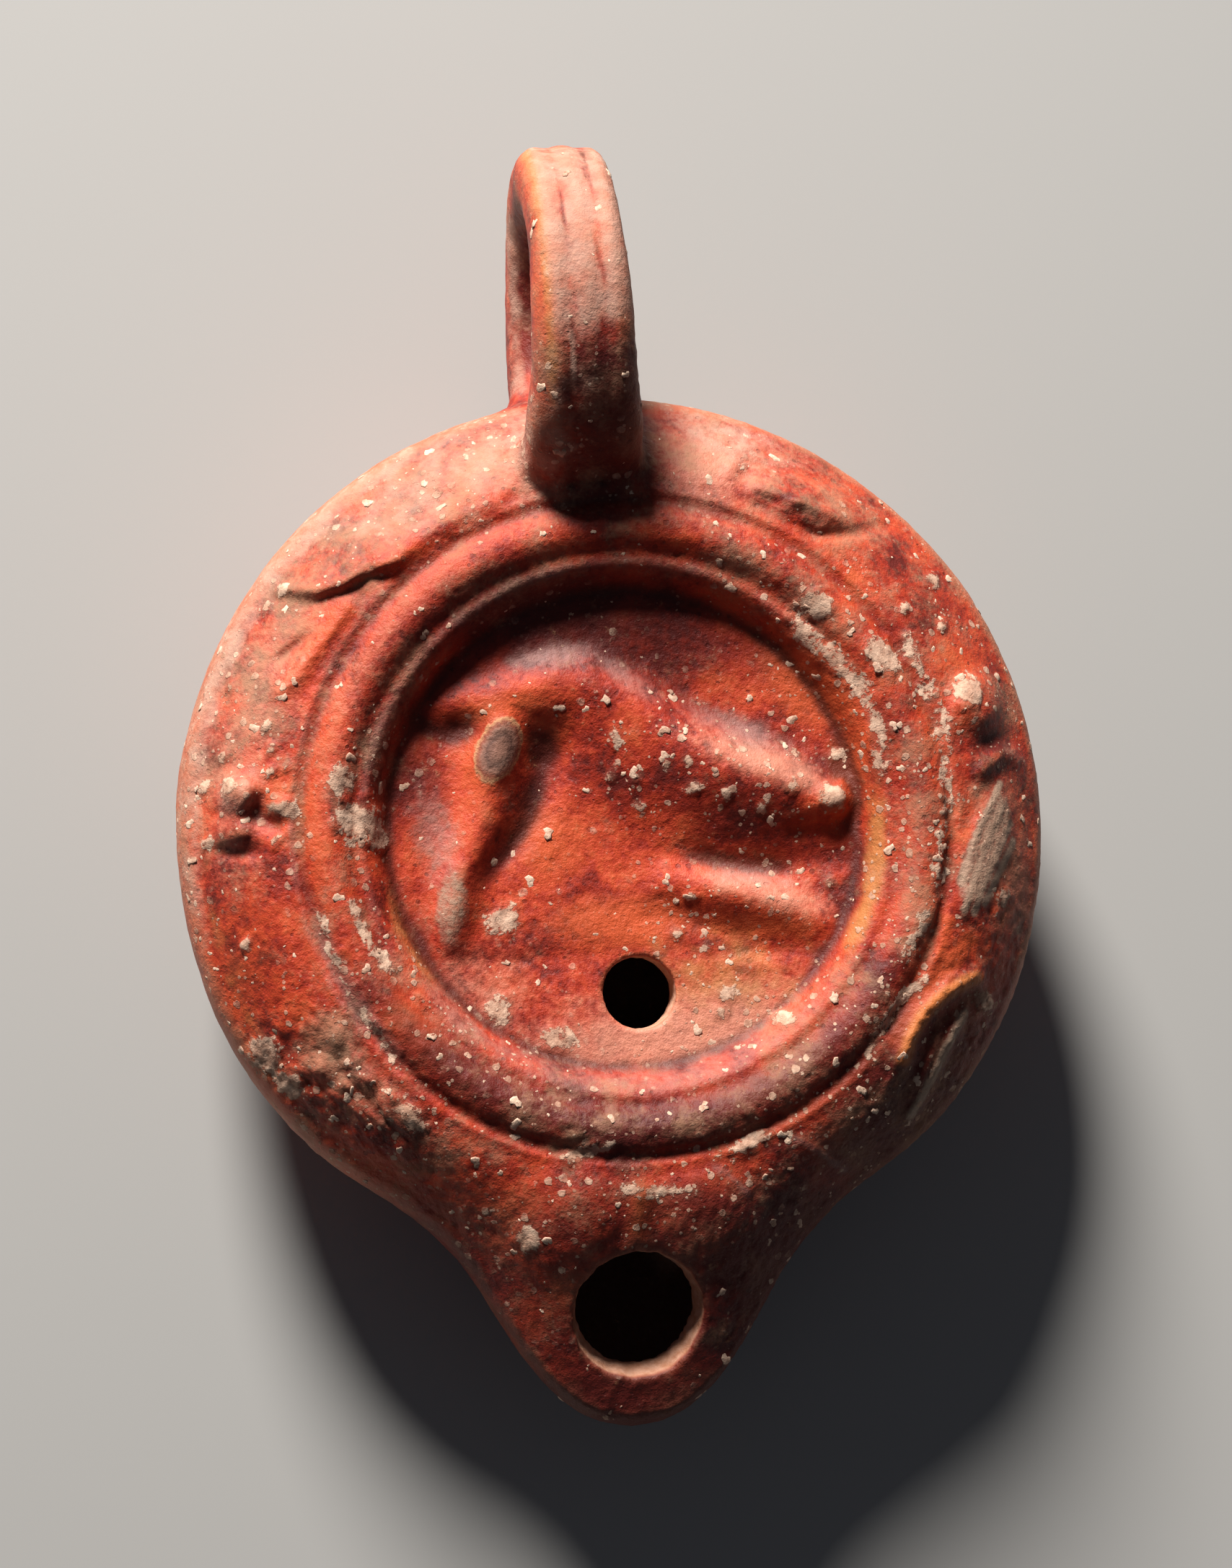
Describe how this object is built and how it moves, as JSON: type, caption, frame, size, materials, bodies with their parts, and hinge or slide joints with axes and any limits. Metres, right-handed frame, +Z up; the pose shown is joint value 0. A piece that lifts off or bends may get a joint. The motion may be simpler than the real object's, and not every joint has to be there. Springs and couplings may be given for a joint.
{
  "type": "roman oil lamp",
  "caption": "Round hollow clay oil lamp with a sunken relief discus, ringed shoulder, wick nozzle and pierced ring handle.",
  "frame": {"origin": "centre of the flat underside that the lamp stands on", "axes": "+Z up; -Y along the nozzle, from the middle of the body; +Y towards the handle; +X to the right as seen from above with the handle away from the viewer"},
  "size_m": [0.082, 0.1191, 0.0352],
  "materials": {
    "terracotta": "worn brick-red slip on fired clay, satin where the slip holds, matt and buff where it has worn off, with pale lime crust and flecks"
  },
  "bodies": {
    "root": {"lamp": "terracotta"}
  },
  "joints": []
}
